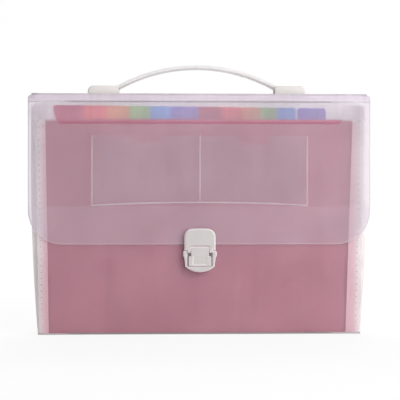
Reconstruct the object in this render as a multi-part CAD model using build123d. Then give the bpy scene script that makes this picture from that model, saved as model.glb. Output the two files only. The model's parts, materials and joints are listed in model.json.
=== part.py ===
from build123d import *
import os
from math import asin, cos, sin

# An expanding file case for A4 sheets lying on their long side: a scored cover sheet that wraps
# thirteen pockets, pleated gussets at both sides, a flap with a clasp and a carrying handle.
# Millimetres. X is the width, Y the depth with the front at -Y, Z is up.
# The origin is the middle of the footprint, on the surface that the case stands on.

# Driving sizes of the cover
CASE_WIDTH = 336.0  # flap
TOP_WIDTH = 329.0  # top panel and the two folds beside it
CASE_HEIGHT = 237.0  # standing surface to the top of the cover
SHEET = 0.9  # cover sheet
FOLD_RADIUS = 1.6  # outside of the bent webs at the two top folds
FOLD_WEB = 0.5  # the scored sheet is thinner there
FLAP_GAP = 6.0  # the upper flap stands this far off the front panel
FLAP_LOW_GAP = 1.8  # the clasp draws the lower flap in to this

# Driving sizes of the pockets
POCKETS = 13
POCKET_PITCH = 2.6
DIVIDER_SHEET = 0.5
PLEAT_SHEET = 0.25

# Outlines of the panels
BASE_WIDTH = 318.0
BACK_TOP_WIDTH = 332.0
FRONT_TOP_WIDTH = 328.0
FRONT_TOP = 226.5
CUTOUT_FLOOR = 207.5
CUTOUT_FLOOR_WIDTH = 280.0
CUTOUT_MOUTH_WIDTH = 291.0
CUTOUT_ROUND = 5.0
PANEL_ROUND = 3.0
CREASE_ROUND = 0.6  # at the two creases of the base

# Flap
FLAP_BOTTOM = 88.8
FLAP_CORNER = 32.5
FLAP_TOP_CORNER = 3.5
FLAP_BEND_TOP = 125.5
FLAP_BEND_BOTTOM = 106.0
FLAP_BEND_ROUND = 8.0
SCORE_DROP = 7.3  # scored line on the flap, below the top
SCORE_WIDTH = 0.9
SCORE_DEPTH = 0.3
FRONT_SCORE_Z = 2.7  # scored line on the front panel, just above its foot

# Card pockets on the inside of the flap
CARD_WIDTH = 106.5  # of one pocket
CARD_TOP = 195.5
CARD_BOTTOM = 126.5
CARD_ARCH = 3.0  # rise of the bottom weld at the middle
CARD_SHEET = 0.3
WELD_HEIGHT = 0.3
WELD_WIDTH = 1.4
THUMB_WIDTH = 30.0
THUMB_DEPTH = 8.0
THUMB_ROUND = 5.6

# Dividers
DIVIDER_FOOT = SHEET + 0.3  # the sheets hang just clear of the base
DIVIDER_TOP = 212.5
DIVIDER_FOOT_WIDTH = 297.0
DIVIDER_TOP_WIDTH = 304.0
TAB_TOP = 226.0
TAB_WIDTH = 29.0
TAB_ROUND = 3.0
TAB_RIGHT_ENDS = (-115.5, -91.5, -69.5, -49.0, -28.0, -0.5, 22.5, 43.5, 61.5, 79.0, 98.5, 129.5)
LIP_CLEARANCE = 0.15

# Gusset pleats
PLEAT_TOP = 225.5
PLEAT_FOOT_REACH = 159.9  # half width at the outer folds, at the foot
PLEAT_BULGE = 6.8  # how much further out the folds are at the top
PLEAT_LEVELS = 3
PANEL_WELD_INSET = 0.8  # the first and last pleats end this far inside the panels' edges
FOLD_HALF = 0.45  # half the thickness of an outer fold
FOLD_TIP = 0.4

# Handle
HANDLE_X = -2.5
HANDLE_SPAN = 155.0  # between the inner ends of the feet
FOOT_LENGTH = 30.5
FOOT_POST_INSETS = (5.0, 24.5)  # along a foot, from its inner end
FOOT_WIDTH = 22.0
FOOT_HEIGHT = 8.7
FOOT_ROUND = 6.0
FOOT_EDGE = 1.2
FOOT_ROOF = 1.2
FOOT_FLOOR = 1.5
FOOT_MOUTH = 7.5  # the roof is cut back this far, where the strap dives in
FOOT_SLACK = 0.3  # beside the strap
LEDGE_RAMP_START = 2.0  # a ramp leads up to the ledge, this far before the strap lies level
LEDGE_RAMP_END = 1.0
TAIL_SLACK = 0.5  # beyond the strap's end
STRAP_WIDTH = 18.0
STRAP_THICKNESS = 3.0
STRAP_RADIUS = 160.0  # of the bowed strap's middle surface
STRAP_CROWN = 27.7  # its height above the top panel
STRAP_DIVE_RADIUS = 24.0
STRAP_TAIL = 9.0
PEG_RADIUS = 2.5
PEG_SLACK = 0.1
POST_RADIUS = 1.5
BACKING = 1.2
BACKING_LENGTH = 27.0
BACKING_WIDTH = 18.0
BACKING_CORNER = 2.0

# Clasp
CLASP_WIDTH = 30.6
CLASP_TOP = 104.5
CLASP_FOOT = 83.0
CLASP_CROWN = 1.0  # rise of the plate's top edge at the middle
CLASP_ROUND = 8.0
CLASP_THICKNESS = 4.6
CLASP_EDGE = 1.2
CLASP_INNER_WIDTH = 24.8  # the cheeks' lower ends, between the ears of the catch
CLASP_INNER_FOOT = 80.6
GROOVE_WIDTH = 25.6
GROOVE_DEPTH = 0.5
CLASP_BACKING = 1.0
CLASP_BACKING_WIDTH = 26.0
CLASP_BACKING_HEIGHT = 10.0
CLASP_POST_SPREAD = 18.0
FLAP_POST_Z = 95.5
CATCH_POST_Z = 73.0
PIN_Z = 84.9
PIN_RADIUS = 1.0
PIN_LENGTH = 28.6
BARREL_RADIUS = 2.2
BARREL_WIDTH = 18.2
BARREL_GAP = 0.4
CHEEK_GAP = 0.2
NECK_WIDTH = 17.2
NECK_OVERLAP = 2.0  # into the pad
PAD_TOP = 77.3
PAD_BOTTOM = 67.5
PAD_WIDTH = 22.4
PAD_ROUND = 1.0
TONGUE_THICKNESS = 2.6
REST_WIDTH = 13.8  # the sunk finger rest on the pad
REST_HEIGHT = 8.6
REST_DEPTH = 0.6
REST_RISE = 0.6  # its middle, above the pad's
CATCH_TOP = 82.5
EAR_WIDTH = 33.0
EAR_FOOT = 77.3
EAR_SLOPE = 0.7  # fall of the ears' lower edges
CATCH_SHOULDER_WIDTH = 31.2
CATCH_LOW_WIDTH = 28.6
CATCH_LOW = 67.0
CATCH_FOOT = 61.6
CATCH_FLOOR = 1.5
CATCH_HEIGHT = 6.2
CATCH_POCKET_WIDTH = 25.2
CATCH_POCKET_GAP = 0.4  # below the pad
CATCH_EDGE = 0.8
CATCH_STEP_WIDTH = 15.0  # the raised step that the pad comes to rest before
CATCH_STEP_HEIGHT = 6.0
CATCH_STEP_DEPTH = 2.6
RUNNING_CLEARANCE = 0.05
OVERCUT = 1.0  # cuts run on this far past the solid

# Depths, worked out from the stack of pockets and the clasp
BODY_DEPTH = 2 * SHEET + POCKETS * POCKET_PITCH
CLASP_REACH = FLAP_LOW_GAP + SHEET + CLASP_THICKNESS  # front of the clasp, ahead of the front panel
FRONT_Y = (CLASP_REACH - BODY_DEPTH) / 2  # outer face of the front panel
BACK_Y = FRONT_Y + BODY_DEPTH  # outer face of the back panel
FLAP_Y = FRONT_Y - FLAP_GAP - SHEET  # outer face of the upper flap
FLAP_LOW_Y = FRONT_Y - FLAP_LOW_GAP - SHEET  # outer face of the lower flap
HANDLE_Y = (FLAP_Y + BACK_Y) / 2
STRAP_ENTRY = HANDLE_SPAN / 2
PIN_Y = FLAP_LOW_Y - CLASP_THICKNESS + BARREL_RADIUS + CHEEK_GAP


def front_plane(y):
    """Drawing plane seen from the front: its x is X, its y is Z, and it faces -Y."""
    return Plane(origin=(0, y, 0), x_dir=(1, 0, 0), z_dir=(0, -1, 0))


def upright(outline, back_y, thickness):
    """A plate with its back at back_y, as thick as given towards the front."""
    return extrude(front_plane(back_y) * outline, amount=thickness)


def across(outline, width, middle=0.0):
    """A bar along X, from an outline drawn in Y and Z."""
    return extrude(Plane.YZ.offset(middle) * outline, amount=width / 2, both=True)


def polygon(*points):
    return make_face(Polyline(*points, close=True))


def taper(foot_width, foot_z, top_width, top_z):
    """A symmetric outline with straight sides."""
    return polygon(
        (-foot_width / 2, foot_z),
        (foot_width / 2, foot_z),
        (top_width / 2, top_z),
        (-top_width / 2, top_z),
    )


def block(low, high):
    size = [b - a for a, b in zip(low, high)]
    middle = [(a + b) / 2 for a, b in zip(low, high)]
    return Pos(*middle) * Box(*size)


def post(x, z, radius, back_y, length):
    """A round bar along Y that ends at back_y and runs towards the front."""
    return upright(Pos(x, z) * Circle(radius), back_y, length)


def corners_at(outline, height):
    """The corners of a front outline at one height."""
    return [v for v in outline.vertices() if abs(v.Y - height) < 1e-6]


# Cover


def back_panel():
    outline = taper(BASE_WIDTH, SHEET, BACK_TOP_WIDTH, CASE_HEIGHT - FOLD_RADIUS)
    return upright(outline, BACK_Y, SHEET)


def base_panel():
    sheet = block((-BASE_WIDTH / 2, FRONT_Y, 0), (BASE_WIDTH / 2, BACK_Y, SHEET))
    creases = sheet.edges().filter_by(Axis.X).group_by(Axis.Z)[0]
    return fillet(creases, CREASE_ROUND)


def clasp_post_places():
    return (-CLASP_POST_SPREAD / 2, CLASP_POST_SPREAD / 2)


def drilled(plate, post_z):
    """A plate with the holes for the two posts of a clasp piece."""
    for x in clasp_post_places():
        plate -= post(x, post_z, POST_RADIUS, BACK_Y, BACK_Y - FLAP_Y + CLASP_REACH)
    return plate


def score(outer_y, z):
    """The groove that a scoring wheel leaves across an outer face."""
    groove = polygon(
        (outer_y - SCORE_DEPTH, z - SCORE_WIDTH),
        (outer_y + SCORE_DEPTH, z),
        (outer_y - SCORE_DEPTH, z + SCORE_WIDTH),
    )
    return across(groove, CASE_WIDTH + SHEET)


def front_panel():
    outline = taper(BASE_WIDTH, SHEET, FRONT_TOP_WIDTH, FRONT_TOP)
    outline = fillet(corners_at(outline, FRONT_TOP), PANEL_ROUND)
    cutout = taper(CUTOUT_FLOOR_WIDTH, CUTOUT_FLOOR, CUTOUT_MOUTH_WIDTH, FRONT_TOP + SHEET)
    cutout = fillet(corners_at(cutout, CUTOUT_FLOOR), CUTOUT_ROUND)
    panel = upright(outline - cutout, FRONT_Y + SHEET, SHEET)
    panel -= score(FRONT_Y, FRONT_SCORE_Z)
    return drilled(panel, CATCH_POST_Z)


def top_panel():
    sheet = block(
        (-TOP_WIDTH / 2, FLAP_Y + FOLD_RADIUS, CASE_HEIGHT - SHEET),
        (TOP_WIDTH / 2, BACK_Y - FOLD_RADIUS, CASE_HEIGHT),
    )
    for side in (-1, 1):
        for x in foot_posts(side):
            sheet -= Pos(x, HANDLE_Y, CASE_HEIGHT) * Cylinder(POST_RADIUS, 4 * SHEET)
    return sheet


def top_fold(y, side):
    """The bent web between the top panel and the sheet below it. Side is +1 at the rear."""
    middle = (y - side * FOLD_RADIUS, CASE_HEIGHT - FOLD_RADIUS)
    ring = Circle(FOLD_RADIUS) - Circle(FOLD_RADIUS - FOLD_WEB)
    quarter = Pos(side * FOLD_RADIUS / 2, FOLD_RADIUS / 2) * Rectangle(FOLD_RADIUS, FOLD_RADIUS)
    return across(Pos(*middle) * (ring & quarter), TOP_WIDTH)


def front_flap():
    lower_step = FLAP_LOW_Y - FLAP_Y
    top = CASE_HEIGHT - FOLD_RADIUS
    outer = [(0, top), (0, FLAP_BEND_TOP), (lower_step, FLAP_BEND_BOTTOM), (lower_step, FLAP_BOTTOM)]
    inner = [(y + SHEET, z) for y, z in reversed(outer)]
    profile = Pos(FLAP_Y, 0) * polygon(*outer, *inner)
    bends = [v for v in profile.vertices() if FLAP_BOTTOM + 1 < v.Y < top - 1]
    sheet = across(fillet(bends, FLAP_BEND_ROUND), CASE_WIDTH)
    outline = taper(CASE_WIDTH, FLAP_BOTTOM, CASE_WIDTH, top)
    outline = fillet(corners_at(outline, FLAP_BOTTOM), FLAP_CORNER)
    outline = fillet(corners_at(outline, top), FLAP_TOP_CORNER)
    flap = sheet & upright(outline, FRONT_Y, FRONT_Y - FLAP_Y + SHEET)
    flap -= score(FLAP_Y, CASE_HEIGHT - SCORE_DROP)
    return drilled(flap, FLAP_POST_Z)


def card_sheet_outline():
    left, right = (-CARD_WIDTH, CARD_BOTTOM), (CARD_WIDTH, CARD_BOTTOM)
    arch = ThreePointArc(left, (0, CARD_BOTTOM + CARD_ARCH), right)
    sides = Polyline(right, (CARD_WIDTH, CARD_TOP), (-CARD_WIDTH, CARD_TOP), left)
    return make_face([*arch.edges(), *sides.edges()])


def flap_card_pocket():
    inner_y = FLAP_Y + SHEET
    whole = card_sheet_outline()
    thumb = fillet(Rectangle(THUMB_WIDTH, 2 * THUMB_DEPTH).vertices(), THUMB_ROUND)
    notched = whole
    for side in (-1, 1):
        notched -= Pos(side * CARD_WIDTH / 2, CARD_TOP) * thumb
    sheet = upright(notched, inner_y + WELD_HEIGHT + CARD_SHEET, CARD_SHEET)
    welds = whole
    chamber = Pos(0, WELD_WIDTH) * whole
    for side in (-1, 1):
        middle_z = (CARD_TOP + CARD_BOTTOM) / 2
        opening = Pos(side * CARD_WIDTH / 2, middle_z)
        opening *= Rectangle(CARD_WIDTH - 2 * WELD_WIDTH, CARD_TOP - CARD_BOTTOM + 2 * CARD_ARCH)
        welds -= chamber & opening
    return sheet + upright(welds, inner_y + WELD_HEIGHT, WELD_HEIGHT)


# Pockets


def sheet_y(number):
    """Middle of a divider. Number 0 is the front panel's inner face, and 13 the back panel's."""
    return FRONT_Y + SHEET + number * POCKET_PITCH


def divider_half_width(z):
    rise = (z - DIVIDER_FOOT) / (DIVIDER_TOP - DIVIDER_FOOT)
    return (DIVIDER_FOOT_WIDTH + rise * (DIVIDER_TOP_WIDTH - DIVIDER_FOOT_WIDTH)) / 2


def divider(number):
    """One sheet with its index tab, and a lip at its foot that closes the pocket in front of it."""
    outline = taper(DIVIDER_FOOT_WIDTH, DIVIDER_FOOT, DIVIDER_TOP_WIDTH, DIVIDER_TOP)
    right = TAB_RIGHT_ENDS[number - 1]
    tab = Pos(right - TAB_WIDTH / 2, TAB_TOP - TAB_WIDTH / 2) * Rectangle(TAB_WIDTH, TAB_WIDTH)
    outline += fillet(corners_at(tab, TAB_TOP), TAB_ROUND)
    back = sheet_y(number) + DIVIDER_SHEET / 2
    front = back - DIVIDER_SHEET
    lip = block(
        (-DIVIDER_FOOT_WIDTH / 2, front - POCKET_PITCH + DIVIDER_SHEET + LIP_CLEARANCE, DIVIDER_FOOT),
        (DIVIDER_FOOT_WIDTH / 2, back, DIVIDER_FOOT + DIVIDER_SHEET),
    )
    return upright(outline, back, DIVIDER_SHEET) + lip


def pleat_reach(z):
    """Half width of the outer folds: they spread quickly above the foot, and then less."""
    rise = z / PLEAT_TOP
    return PLEAT_FOOT_REACH + PLEAT_BULGE * (1 - (1 - rise) ** 3)


def panel_reach(z):
    """Half width of the first and last pleats, whose outer leaf is welded flat to a panel."""
    edge = (BASE_WIDTH + (FRONT_TOP_WIDTH - BASE_WIDTH) * z / FRONT_TOP) / 2
    return edge - PANEL_WELD_INSET


def pleat_section(number, z, side):
    front = sheet_y(number - 1)
    back = sheet_y(number)
    fold = (front + back) / 2
    reach = pleat_reach(z)
    if number == 1:
        fold = front + FOLD_HALF
    if number == POCKETS:
        fold = back - FOLD_HALF
    if number in (1, POCKETS):
        reach = panel_reach(z)
    root = divider_half_width(z)
    outer = [(root, front), (reach, fold - FOLD_HALF), (reach, fold + FOLD_HALF), (root, back)]
    inner = [
        (root, back - PLEAT_SHEET),
        (reach - FOLD_TIP, fold + FOLD_HALF - PLEAT_SHEET),
        (reach - FOLD_TIP, fold - FOLD_HALF + PLEAT_SHEET),
        (root, front + PLEAT_SHEET),
    ]
    points = [(side * x, y) for x, y in outer + inner]
    return Plane.XY.offset(z) * polygon(*points)


def gusset_pleat(number):
    """The left and right pleats of one pocket."""
    step = (PLEAT_TOP - DIVIDER_FOOT) / PLEAT_LEVELS
    levels = [DIVIDER_FOOT + step * k for k in range(PLEAT_LEVELS + 1)]
    sides = [loft([pleat_section(number, z, side) for z in levels], ruled=True) for side in (-1, 1)]
    return Compound([s.solid() for s in sides])


# Handle


def foot_posts(side):
    """Places along X of the two posts that hold a foot to the top panel."""
    return [HANDLE_X + side * (STRAP_ENTRY + inset) for inset in FOOT_POST_INSETS]


def handle_strap():
    """A bowed band whose ends dive into the feet and lie flat there, each with a hole for its peg."""
    lean = asin(STRAP_ENTRY / STRAP_RADIUS)
    centre_z = CASE_HEIGHT + STRAP_CROWN - STRAP_RADIUS
    entry = Vector(STRAP_ENTRY, centre_z + STRAP_RADIUS * cos(lean))
    level = entry + Vector(STRAP_DIVE_RADIUS * sin(lean), -STRAP_DIVE_RADIUS * (1 - cos(lean)))
    dive_middle = level + STRAP_DIVE_RADIUS * Vector(-sin(lean / 2), 1 - cos(lean / 2))
    left = Vector(-1, 1)
    mirrored = [Vector(left.X * p.X, p.Y) for p in (entry, dive_middle, level)]
    crown = Vector(0, centre_z + STRAP_RADIUS)
    tail = Vector(STRAP_TAIL, 0)
    line = [
        Line(mirrored[2] - tail, mirrored[2]),
        ThreePointArc(mirrored[2], mirrored[1], mirrored[0]),
        ThreePointArc(mirrored[0], crown, entry),
        ThreePointArc(entry, dive_middle, level),
        Line(level, level + tail),
    ]
    band = trace(Wire([e for piece in line for e in piece.edges()]), line_width=STRAP_THICKNESS)
    strap = Pos(HANDLE_X, 0, 0) * upright(band, HANDLE_Y + STRAP_WIDTH / 2, STRAP_WIDTH)
    for side in (-1, 1):
        strap -= Pos(peg_x(side), HANDLE_Y, level.Y) * Cylinder(PEG_RADIUS + PEG_SLACK, 3 * STRAP_THICKNESS)
    return strap


def peg_x(side):
    lean = asin(STRAP_ENTRY / STRAP_RADIUS)
    return HANDLE_X + side * (STRAP_ENTRY + STRAP_DIVE_RADIUS * sin(lean) + STRAP_TAIL / 2)


def strap_tail_height():
    """Height of the underside of the strap's flat ends above the top panel."""
    lean = asin(STRAP_ENTRY / STRAP_RADIUS)
    fall = STRAP_RADIUS * (1 - cos(lean)) + STRAP_DIVE_RADIUS * (1 - cos(lean))
    return STRAP_CROWN - fall - STRAP_THICKNESS / 2


def handle_foot(side):
    """A moulded shoe: open at its inner end, with a ledge and a peg for the strap."""
    body = Pos(FOOT_LENGTH / 2, FOOT_HEIGHT / 2) * Rectangle(FOOT_LENGTH, FOOT_HEIGHT)
    outer_top = [v for v in body.vertices() if v.X > 1 and v.Y > 1]
    shoe = upright(fillet(outer_top, FOOT_ROUND), FOOT_WIDTH / 2, FOOT_WIDTH)
    flanks = shoe.faces().sort_by(Axis.Y)
    rims = flanks[0].edges() + flanks[-1].edges()
    shoe = chamfer([e for e in rims if e.center().X > 1 and e.center().Z > 1], FOOT_EDGE)
    ledge = strap_tail_height()
    roof = FOOT_HEIGHT - FOOT_ROOF
    dive = STRAP_DIVE_RADIUS * asin(STRAP_ENTRY / STRAP_RADIUS)
    end = dive + STRAP_TAIL + TAIL_SLACK
    hollow = polygon(
        (-OVERCUT, FOOT_FLOOR),
        (dive - LEDGE_RAMP_START, FOOT_FLOOR),
        (dive - LEDGE_RAMP_END, ledge),
        (end, ledge),
        (end, roof),
        (FOOT_MOUTH, roof),
        (FOOT_MOUTH, FOOT_HEIGHT + OVERCUT),
        (-OVERCUT, FOOT_HEIGHT + OVERCUT),
    )
    mouth = STRAP_WIDTH + 2 * FOOT_SLACK
    shoe -= upright(hollow, mouth / 2, mouth)
    peg_length = FOOT_HEIGHT - FOOT_ROOF
    shoe += Pos(peg_x(1) - HANDLE_X - STRAP_ENTRY, 0, FOOT_HEIGHT / 2) * Cylinder(PEG_RADIUS, peg_length)
    reach = SHEET + BACKING + FOOT_FLOOR / 2
    for inset in FOOT_POST_INSETS:
        shoe += Pos(inset, 0, (FOOT_FLOOR - reach) / 2) * Cylinder(POST_RADIUS, reach)
    if side < 0:
        shoe = mirror(shoe, about=Plane.YZ)
    return Pos(HANDLE_X + side * STRAP_ENTRY, HANDLE_Y, CASE_HEIGHT) * shoe


def handle_backing(side):
    """The plate under the top panel that a foot's posts are staked to."""
    middle = HANDLE_X + side * (STRAP_ENTRY + FOOT_LENGTH / 2)
    plate = chamfer(Rectangle(BACKING_LENGTH, BACKING_WIDTH).vertices(), BACKING_CORNER)
    plate = Pos(middle, HANDLE_Y) * plate
    for x in foot_posts(side):
        plate -= Pos(x, HANDLE_Y) * Circle(POST_RADIUS)
    return extrude(Plane.XY.offset(CASE_HEIGHT - SHEET - BACKING) * plate, amount=BACKING)


# Clasp


def hinge_bar(radius, length):
    return Pos(0, PIN_Y, PIN_Z) * Rot(0, 90, 0) * Cylinder(radius, length)


def with_posts(moulding, outer_y, post_z):
    """A moulding with two posts through a sheet whose outer face is at outer_y, staked flush behind."""
    back_y = outer_y + SHEET + CLASP_BACKING
    for x in clasp_post_places():
        moulding += post(x, post_z, POST_RADIUS, back_y, back_y - outer_y + CATCH_FLOOR / 2)
    return moulding


def clasp_backing(outer_y, post_z):
    """The plate behind a sheet that two posts are staked to."""
    outline = Rectangle(CLASP_BACKING_WIDTH, CLASP_BACKING_HEIGHT)
    outline = Pos(0, post_z) * chamfer(outline.vertices(), BACKING_CORNER)
    return drilled(upright(outline, outer_y + SHEET + CLASP_BACKING, CLASP_BACKING), post_z)


def clasp_plate_outline():
    half = CLASP_WIDTH / 2
    shoulder = CLASP_TOP - CLASP_CROWN
    top = ThreePointArc((half, shoulder), (0, CLASP_TOP), (-half, shoulder))
    sides = Polyline((-half, shoulder), (-half, CLASP_FOOT), (half, CLASP_FOOT), (half, shoulder))
    outline = make_face([*top.edges(), *sides.edges()])
    return fillet(corners_at(outline, shoulder), CLASP_ROUND)


def clasp_flap_plate():
    """The moulded plate on the flap, with two cheeks that hold the pin."""
    plate = upright(clasp_plate_outline(), FLAP_LOW_Y, CLASP_THICKNESS)
    plate = chamfer(plate.faces().sort_by(Axis.Y)[0].edges(), CLASP_EDGE)
    cheeks = taper(CLASP_INNER_WIDTH, CLASP_INNER_FOOT, CLASP_INNER_WIDTH, PIN_Z)
    plate += upright(cheeks, FLAP_LOW_Y, CLASP_THICKNESS)
    notch_top = PIN_Z + BARREL_RADIUS + BARREL_GAP
    notch_half = BARREL_WIDTH / 2 + CHEEK_GAP
    front = FLAP_LOW_Y - CLASP_THICKNESS
    plate -= block(
        (-notch_half, front - OVERCUT, CLASP_INNER_FOOT - OVERCUT),
        (notch_half, FLAP_LOW_Y + OVERCUT, notch_top),
    )
    plate -= block(
        (-GROOVE_WIDTH / 2, front - OVERCUT, notch_top - GROOVE_DEPTH),
        (GROOVE_WIDTH / 2, front + GROOVE_DEPTH, notch_top + GROOVE_DEPTH),
    )
    return with_posts(plate - hinge_bar(PIN_RADIUS, PIN_LENGTH), FLAP_LOW_Y, FLAP_POST_Z)


def clasp_flap_backing():
    return clasp_backing(FLAP_LOW_Y, FLAP_POST_Z)


def clasp_tongue():
    """The latch that turns on the pin: barrel, neck, and a wide pad with a sunk finger rest."""
    front = PIN_Y - BARREL_RADIUS
    back = front + TONGUE_THICKNESS
    pad = taper(PAD_WIDTH, PAD_BOTTOM, PAD_WIDTH, PAD_TOP)
    pad = fillet(pad.vertices(), PAD_ROUND)
    neck = taper(NECK_WIDTH, PAD_TOP - NECK_OVERLAP, NECK_WIDTH, PIN_Z)
    tongue = upright(pad + neck, back, TONGUE_THICKNESS) + hinge_bar(BARREL_RADIUS, BARREL_WIDTH)
    rest = Pos(0, (PAD_TOP + PAD_BOTTOM) / 2 + REST_RISE) * Rectangle(REST_WIDTH, REST_HEIGHT)
    tongue -= upright(rest, front + REST_DEPTH, BARREL_RADIUS)
    return tongue - hinge_bar(PIN_RADIUS + RUNNING_CLEARANCE, BARREL_WIDTH + OVERCUT)


def clasp_hinge_pin():
    return hinge_bar(PIN_RADIUS, PIN_LENGTH)


def catch_outline():
    right = [
        (EAR_WIDTH / 2, CATCH_TOP),
        (EAR_WIDTH / 2, EAR_FOOT),
        (CATCH_SHOULDER_WIDTH / 2, EAR_FOOT - EAR_SLOPE),
        (CATCH_LOW_WIDTH / 2, CATCH_LOW),
    ]
    left = [(-x, z) for x, z in reversed(right)]
    sides = Polyline(*left, *right)
    foot = ThreePointArc(right[-1], (0, CATCH_FOOT), left[0])
    return make_face([*sides.edges(), *foot.edges()])


def clasp_catch():
    """The moulded tray on the front panel that the tongue snaps into. It has no undercut."""
    tray = upright(catch_outline(), FRONT_Y, CATCH_HEIGHT)
    tray = chamfer(tray.faces().sort_by(Axis.Y)[0].edges(), CATCH_EDGE)
    pocket_foot = PAD_BOTTOM - CATCH_POCKET_GAP
    pocket = taper(CATCH_POCKET_WIDTH, pocket_foot, CATCH_POCKET_WIDTH, CATCH_TOP + OVERCUT)
    tray -= upright(pocket, FRONT_Y - CATCH_FLOOR, CATCH_HEIGHT)
    step = Pos(0, (PAD_TOP + PAD_BOTTOM) / 2) * Rectangle(CATCH_STEP_WIDTH, CATCH_STEP_HEIGHT)
    tray += upright(step, FRONT_Y - CATCH_FLOOR, CATCH_STEP_DEPTH)
    return with_posts(tray, FRONT_Y, CATCH_POST_Z)


def clasp_catch_backing():
    return clasp_backing(FRONT_Y, CATCH_POST_Z)


def pieces():
    """Every node of the case, by name."""
    made = {
        "back_panel": back_panel(),
        "base_panel": base_panel(),
        "front_panel": front_panel(),
        "top_panel": top_panel(),
        "rear_top_fold": top_fold(BACK_Y, 1),
        "front_top_fold": top_fold(FLAP_Y, -1),
        "front_flap": front_flap(),
        "flap_card_pocket": flap_card_pocket(),
        "handle_strap": handle_strap(),
        "handle_foot_left": handle_foot(-1),
        "handle_foot_right": handle_foot(1),
        "handle_backing_left": handle_backing(-1),
        "handle_backing_right": handle_backing(1),
        "clasp_flap_plate": clasp_flap_plate(),
        "clasp_flap_backing": clasp_flap_backing(),
        "clasp_tongue": clasp_tongue(),
        "clasp_hinge_pin": clasp_hinge_pin(),
        "clasp_catch": clasp_catch(),
        "clasp_catch_backing": clasp_catch_backing(),
    }
    for number in range(1, POCKETS):
        made[f"divider_{number:02d}"] = divider(number)
    for number in range(1, POCKETS + 1):
        made[f"gusset_pleat_{number:02d}"] = gusset_pleat(number)
    return made


os.makedirs("parts", exist_ok=True)
for name, shape in pieces().items():
    export_step(shape, f"parts/{name}.step")
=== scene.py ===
from contextlib import contextmanager
import json
import math

import bmesh
import bpy
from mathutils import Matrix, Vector

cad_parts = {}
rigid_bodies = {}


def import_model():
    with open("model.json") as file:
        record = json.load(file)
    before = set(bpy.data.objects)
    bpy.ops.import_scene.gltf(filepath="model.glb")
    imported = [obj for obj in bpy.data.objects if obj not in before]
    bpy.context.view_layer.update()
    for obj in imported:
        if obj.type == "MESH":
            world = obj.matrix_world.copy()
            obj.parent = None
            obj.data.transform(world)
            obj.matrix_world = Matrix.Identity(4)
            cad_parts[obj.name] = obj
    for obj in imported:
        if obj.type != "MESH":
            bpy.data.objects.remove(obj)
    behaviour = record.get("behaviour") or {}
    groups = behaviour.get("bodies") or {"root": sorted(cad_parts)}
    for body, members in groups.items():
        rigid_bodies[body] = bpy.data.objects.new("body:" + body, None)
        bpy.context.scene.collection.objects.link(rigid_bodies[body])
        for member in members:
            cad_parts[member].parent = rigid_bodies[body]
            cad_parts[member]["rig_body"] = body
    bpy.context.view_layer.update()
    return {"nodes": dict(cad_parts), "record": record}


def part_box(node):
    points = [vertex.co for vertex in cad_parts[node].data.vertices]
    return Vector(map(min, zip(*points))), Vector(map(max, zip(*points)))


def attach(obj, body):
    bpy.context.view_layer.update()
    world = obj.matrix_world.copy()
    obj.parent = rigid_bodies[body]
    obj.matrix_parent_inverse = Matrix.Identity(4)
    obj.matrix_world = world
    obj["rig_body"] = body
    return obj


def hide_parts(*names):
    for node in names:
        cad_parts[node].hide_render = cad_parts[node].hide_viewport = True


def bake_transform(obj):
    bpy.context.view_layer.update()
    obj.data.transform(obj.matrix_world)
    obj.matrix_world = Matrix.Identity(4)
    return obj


# An expanding file case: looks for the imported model, in metres.

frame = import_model()
NODES = frame["nodes"]
POCKETS = 13
MM = 0.001
X, Y, Z = range(3)

# Camera, read from the photograph, and the light of the world round the case
CAMERA_DISTANCE = 1.1
CAMERA_HEIGHT = 0.1325
CAMERA_TURN = math.radians(-2.0)
CAMERA_LENS = 101.0
SENSOR_WIDTH = 36.0
WORLD_STRENGTH = 0.48

# Places that several pieces need, from the frame itself
flap_low, flap_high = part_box("front_flap")
top_low, top_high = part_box("top_panel")
SHEET = top_high.z - top_low.z
PANEL_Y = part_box("front_panel")[0].y
BACK_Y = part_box("back_panel")[1].y
FLAP_Y = flap_low.y
FLAP_LOW_Y = flap_high.y - SHEET
SCORE_Z = flap_high.z - 6.6 * MM

# Materials. A line of painted shade fades to LINE_FADE over LINE_REACH from the middle, and painted light
# from the dyed sheets ends over GLOW_TOP
PLASTIC_IOR = 1.49
MOTTLE = 0.05
NOISE_RANGE = (0.3, 0.7)
LINE_REACH = (0.126, 0.136)
LINE_FADE = 0.4
GLOW_TOP = (0.205, 0.215)
COVER_RGB = (230, 224, 229)
DIVIDER_RGB = {
    "magenta": (214, 98, 138),
    "coral": (250, 136, 145),
    "orange": (246, 188, 148),
    "green": (192, 228, 174),
    "blue": (150, 197, 248),
    "purple": (174, 161, 232),
}


def linear(r, g, b):
    """Scene colour of an 8-bit screen colour."""
    def channel(v):
        v /= 255
        return v / 12.92 if v <= 0.04045 else ((v + 0.055) / 1.055) ** 2.4
    return (channel(r), channel(g), channel(b), 1.0)


def grey(value):
    return (value, value, value, 1.0)


def scaled(colour, factor):
    return tuple(min(c * factor, 1.0) for c in colour[:3]) + (1.0,)


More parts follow.
